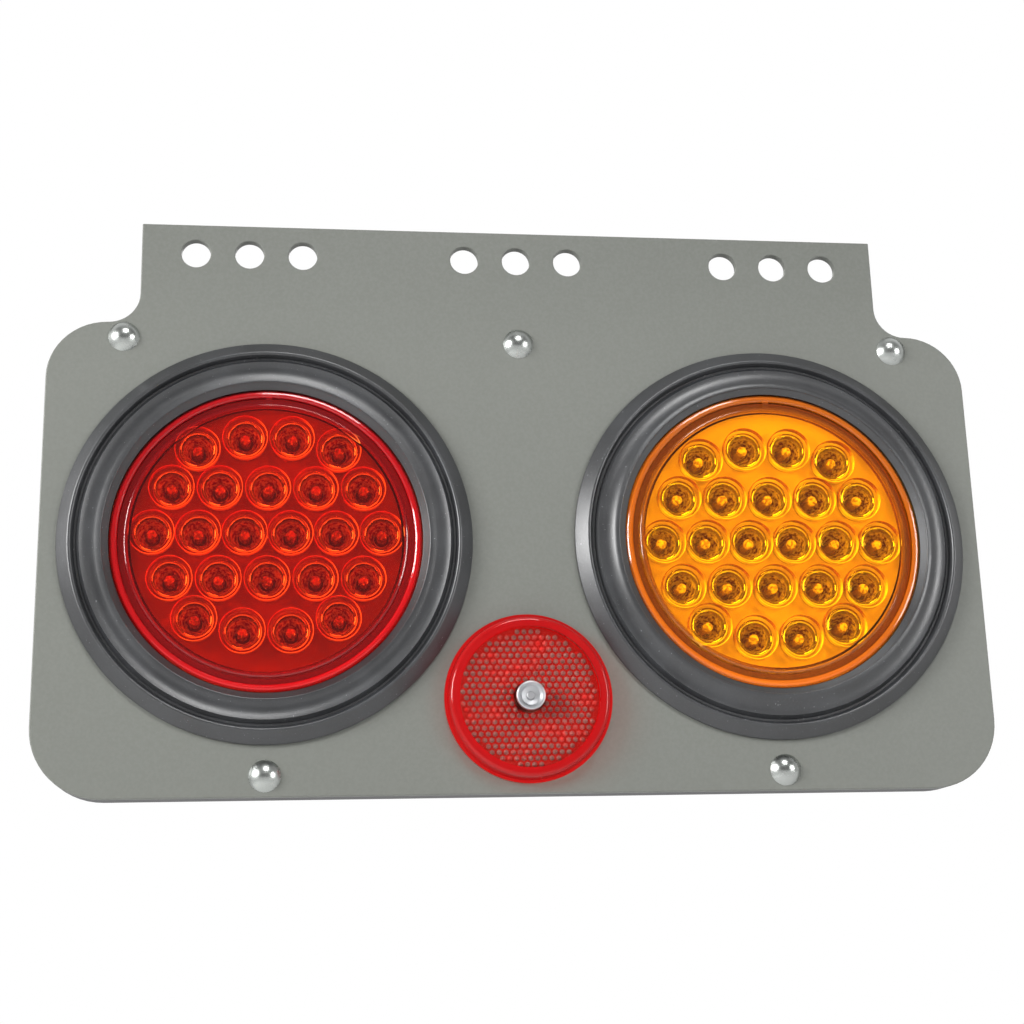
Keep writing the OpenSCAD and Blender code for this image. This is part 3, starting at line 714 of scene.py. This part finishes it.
            # painted light: each point's place towards the lit side, read by the collar finish
            for vert in mesh.verts[known:]:
                away = ((vert.co.x - x) * lit_x + (vert.co.z - z) * lit_z) / self.collar_r
                vert[side] = away
        bmesh.ops.recalc_face_normals(mesh, faces=mesh.faces)
        shaded, lit = self.collars[self.lamp]
        made = new_piece(f"{name}_cup_collars", mesh,
                         CollarPlastic(f"{name}_collar", shaded, lit).material())
        edge = made.modifiers.new("rounded edges", "BEVEL")
        edge.width = 0.09 * MM
        edge.segments = 2
        edge.limit_method = "ANGLE"
        edge.angle_limit = math.radians(40.0)

    def dress_inner(self, name: str) -> None:
        """Dress the pieces behind the tray."""
        plain = {
            "circuit_board": MouldedPlastic(f"{name}_board", (0.01, 0.11, 0.04), 0.35),
            "resistors": MouldedPlastic(f"{name}_chip", (0.01, 0.01, 0.011), 0.5),
            "potting": MouldedPlastic(f"{name}_potting", (0.05, 0.052, 0.058), 0.3),
            "housing": MouldedPlastic(f"{name}_housing"),
            "terminals": BareMetal(f"{name}_pin", (0.8, 0.6, 0.28), 0.22),
        }
        for part, finish in plain.items():
            smooth_cad(self.node(part), 30.0)
            dress(self.node(part), finish.material())


@dataclass
class Reflector:
    """The round reflector, its prisms and the blind rivet through it."""

    nodes: dict[str, bpy.types.Object]
    pitch: float = 2.2 * MM
    prism_r: float = 0.86 * MM
    prism_h: float = 0.5 * MM
    field_r: float = 21.6 * MM
    clear_r: float = 5.6 * MM

    def build(self) -> None:
        """Dress the reflector's nodes and add its prisms."""
        smooth_cad(self.nodes["reflector_lens"], 30.0)
        dress(self.nodes["reflector_lens"], ReflectorPlastic("reflector_plastic").material())
        smooth_cad(self.nodes["reflector_backing"], 30.0)
        dress(self.nodes["reflector_backing"],
              MouldedPlastic("backing_plastic", (0.18, 0.005, 0.004), 0.3).material())
        smooth_cad(self.nodes["reflector_rivet"], 30.0)
        dress(self.nodes["reflector_rivet"],
              BareMetal("blind_rivet_metal", (0.5, 0.51, 0.53), 0.3).material())
        smooth_cad(self.nodes["reflector_rivet_stem"], 30.0)
        dress(self.nodes["reflector_rivet_stem"],
              BareMetal("stem_steel", (0.5, 0.5, 0.52), 0.3).material())
        self.add_prisms()

    def spots(self) -> Iterator[tuple[float, float]]:
        """Yield the prisms' places, in rows that are half a pitch apart in turn."""
        row_pitch = self.pitch * math.sqrt(3) / 2
        rows = int(self.field_r / row_pitch) + 1
        for row in range(-rows, rows + 1):
            shift = 0.5 * (row % 2)
            for column in range(-rows - 1, rows + 2):
                x = (column + shift) * self.pitch
                z = row * row_pitch
                if self.clear_r < math.hypot(x, z) < self.field_r:
                    yield x, z

    def add_prisms(self) -> None:
        """Add the field of six-sided prisms behind the reflector's window."""
        low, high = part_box("reflector_lens")
        centre = (low + high) / 2
        back_low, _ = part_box("reflector_backing")
        face_y = back_low.y - 0.1 * MM
        mesh = bmesh.new()
        turn = Matrix.Rotation(math.radians(90.0), 4, "X")
        for x, z in self.spots():
            place = Matrix.Translation((centre.x + x, face_y - self.prism_h / 2, centre.z + z))
            bmesh.ops.create_cone(mesh, cap_ends=True, segments=6, radius1=self.prism_r,
                                  radius2=self.prism_r * 0.45, depth=self.prism_h,
                                  matrix=place @ turn)
        new_piece("reflector_prisms", mesh, PrismPlastic("prism_plastic").material())


@dataclass
class Studio:
    """Pale floor, white surroundings and soft lights."""

    floor_z: float = -0.6
    floor_half: float = 6.0
    ambient: float = 0.2
    fade_near: float = 0.5
    fade_far: float = 1.2

    def build(self) -> None:
        """Make the floor, the world and the lights."""
        self.add_floor()
        self.set_world()
        self.add_light("left_light", (-1.35, -0.75, 0.3), (0.6, 0.6), 34.0)
        self.add_light("right_light", (1.3, -1.2, 0.15), (0.5, 0.6), 14.0)
        self.add_light("top_light", (0.1, -1.2, 1.1), (0.5, 0.5), 15.0)
        self.add_light("back_light", (0.3, 1.2, 0.8), (0.9, 0.9), 10.0)
        log.info("set the studio")

    def seen(self, graph: Graph) -> Socket:
        """Return 1 for the rays that see the background itself: direct, in gloss or through glass."""
        return graph.clamped(graph.add("ShaderNodeLightPath", output="Is Camera Ray")
                             + graph.add("ShaderNodeLightPath", output="Is Glossy Ray")
                             + graph.add("ShaderNodeLightPath", output="Is Transmission Ray"),
                             0.0, 1.0)

    def add_floor(self) -> None:
        """Add a white floor that fades into the white surroundings."""
        mesh = bmesh.new()
        bmesh.ops.create_grid(mesh, x_segments=1, y_segments=1, size=self.floor_half,
                              matrix=Matrix.Translation((0.0, 0.0, self.floor_z)))
        data = bpy.data.meshes.new("floor")
        mesh.to_mesh(data)
        mesh.free()
        floor = bpy.data.objects.new("floor", data)
        bpy.context.scene.collection.objects.link(floor)
        material = bpy.data.materials.new("floor_white")
        material.use_nodes = True
        graph = Graph(material.node_tree)
        spot = graph.place()
        x = graph.part(spot, "X")
        y = graph.part(spot, "Y")
        far = graph.clamped((x * x + y * y) ** 0.5, self.fade_near, self.fade_far)
        matt = graph.add("ShaderNodeBsdfDiffuse", None, {"Color": grey(0.88)})
        white = graph.add("ShaderNodeEmission", None, {"Color": grey(1.0), "Strength": 1.0})
        graph.surface(graph.add("ShaderNodeMixShader", None,
                                {0: far * self.seen(graph), 1: matt, 2: white}))
        data.materials.append(material)

    def set_world(self) -> None:
        """Make the surroundings white to look at and softer as a light."""
        world = bpy.data.worlds.new("surroundings")
        bpy.context.scene.world = world
        world.use_nodes = True
        graph = Graph(world.node_tree)
        ahead = graph.part(graph.add("ShaderNodeTexCoord", output="Generated"), "Y")
        direct = graph.add("ShaderNodeLightPath", output="Is Camera Ray")
        behind = self.seen(graph) * graph.clamped(ahead, -0.5, 0.1)
        white = graph.clamped(direct + behind, 0.0, 1.0)
        strength = white * (1.0 - self.ambient) + self.ambient
        sky = graph.add("ShaderNodeBackground", None,
                        {"Color": grey(1.0), "Strength": strength})
        graph.add("ShaderNodeOutputWorld", None, {"Surface": sky})

    def add_light(self, name: str, spot: tuple[float, float, float],
                  size: tuple[float, float], power: float) -> None:
        """Add one oblong soft light that faces the lamps.

        Args:
            name: Name of the light.
            spot: Its place in metres.
            size: Its width and height in metres.
            power: Its power in watts.
        """
        data = bpy.data.lights.new(name, "AREA")
        data.shape = "RECTANGLE"
        data.size, data.size_y = size
        data.energy = power
        light = bpy.data.objects.new(name, data)
        bpy.context.scene.collection.objects.link(light)
        light.location = spot
        aim = Vector((0.0, 0.0, -0.09)) - Vector(spot)
        light.rotation_mode = "QUATERNION"
        light.rotation_quaternion = aim.to_track_quat("-Z", "Y")


@dataclass
class Photographer:
    """The camera, where the photograph was taken from."""

    spot: tuple[float, float, float] = (-72.23 * MM, -531.55 * MM, -229.15 * MM)
    aim: tuple[float, float, float] = (-3.58 * MM, -3.0 * MM, -87.6 * MM)
    roll: float = -1.514
    focal_pixels: float = 1700.0
    frame_pixels: float = 1024.0
    sensor_mm: float = 36.0

    def build(self) -> None:
        """Make the camera and set it as the scene's."""
        data = bpy.data.cameras.new("camera")
        data.sensor_width = self.sensor_mm
        data.lens = self.focal_pixels * self.sensor_mm / self.frame_pixels
        data.clip_start = 0.01
        data.clip_end = 50.0
        camera = bpy.data.objects.new("camera", data)
        bpy.context.scene.collection.objects.link(camera)
        look = Vector(self.aim) - Vector(self.spot)
        level = look.to_track_quat("-Z", "Y").to_matrix()
        turn = Matrix.Rotation(math.radians(self.roll), 3, "Z")
        camera.matrix_world = Matrix.Translation(self.spot) @ (level @ turn).to_4x4()
        bpy.context.scene.camera = camera
        log.info("placed the camera")


def main() -> None:
    """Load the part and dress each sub-assembly."""
    logging.basicConfig(level=logging.INFO, format="%(name)s: %(message)s")
    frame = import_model()
    nodes = frame["nodes"]
    bpy.context.scene.view_settings.view_transform = "Standard"
    Photographer().build()
    Studio().build()
    PlateAndCover(nodes).build()
    rubber = MouldedRubber("grommet_rubber").material()
    for lamp in Lamp:
        LampUnit(lamp, nodes, rubber).build()
    Reflector(nodes).build()


if __name__ == "__main__":
    main()
